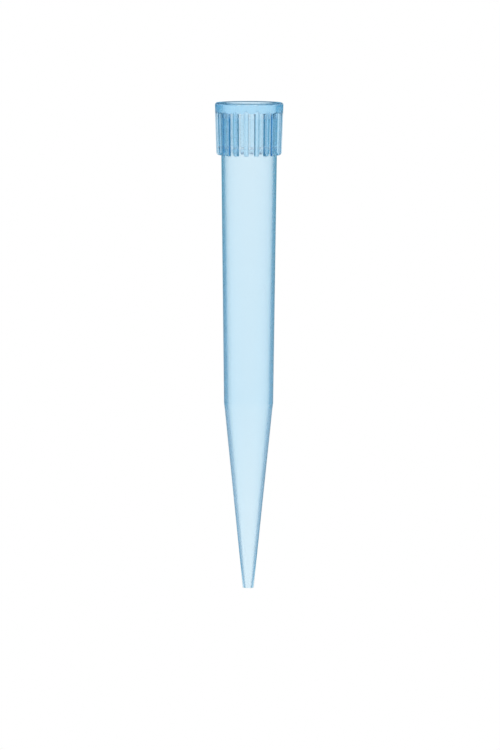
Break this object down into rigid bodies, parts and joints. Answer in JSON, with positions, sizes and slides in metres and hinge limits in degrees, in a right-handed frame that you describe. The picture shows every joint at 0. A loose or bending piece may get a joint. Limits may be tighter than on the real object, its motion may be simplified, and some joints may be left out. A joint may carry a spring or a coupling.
{
  "type": "pipette tip",
  "caption": "Tapered disposable pipette tip with a ribbed collar round its mouth, a slim reservoir and a steep conical point.",
  "frame": {"origin": "centre of the mouth, on the plane of the collar's rim, which is what the tip stands on", "axes": "+Z along the bore from the mouth to the orifice; -Y meets the middle of one rib"},
  "size_m": [0.01, 0.01, 0.071],
  "materials": {
    "blue_polypropylene": "smooth, translucent light blue polypropylene, see-through"
  },
  "bodies": {
    "root": {"tip": "blue_polypropylene"}
  },
  "joints": []
}
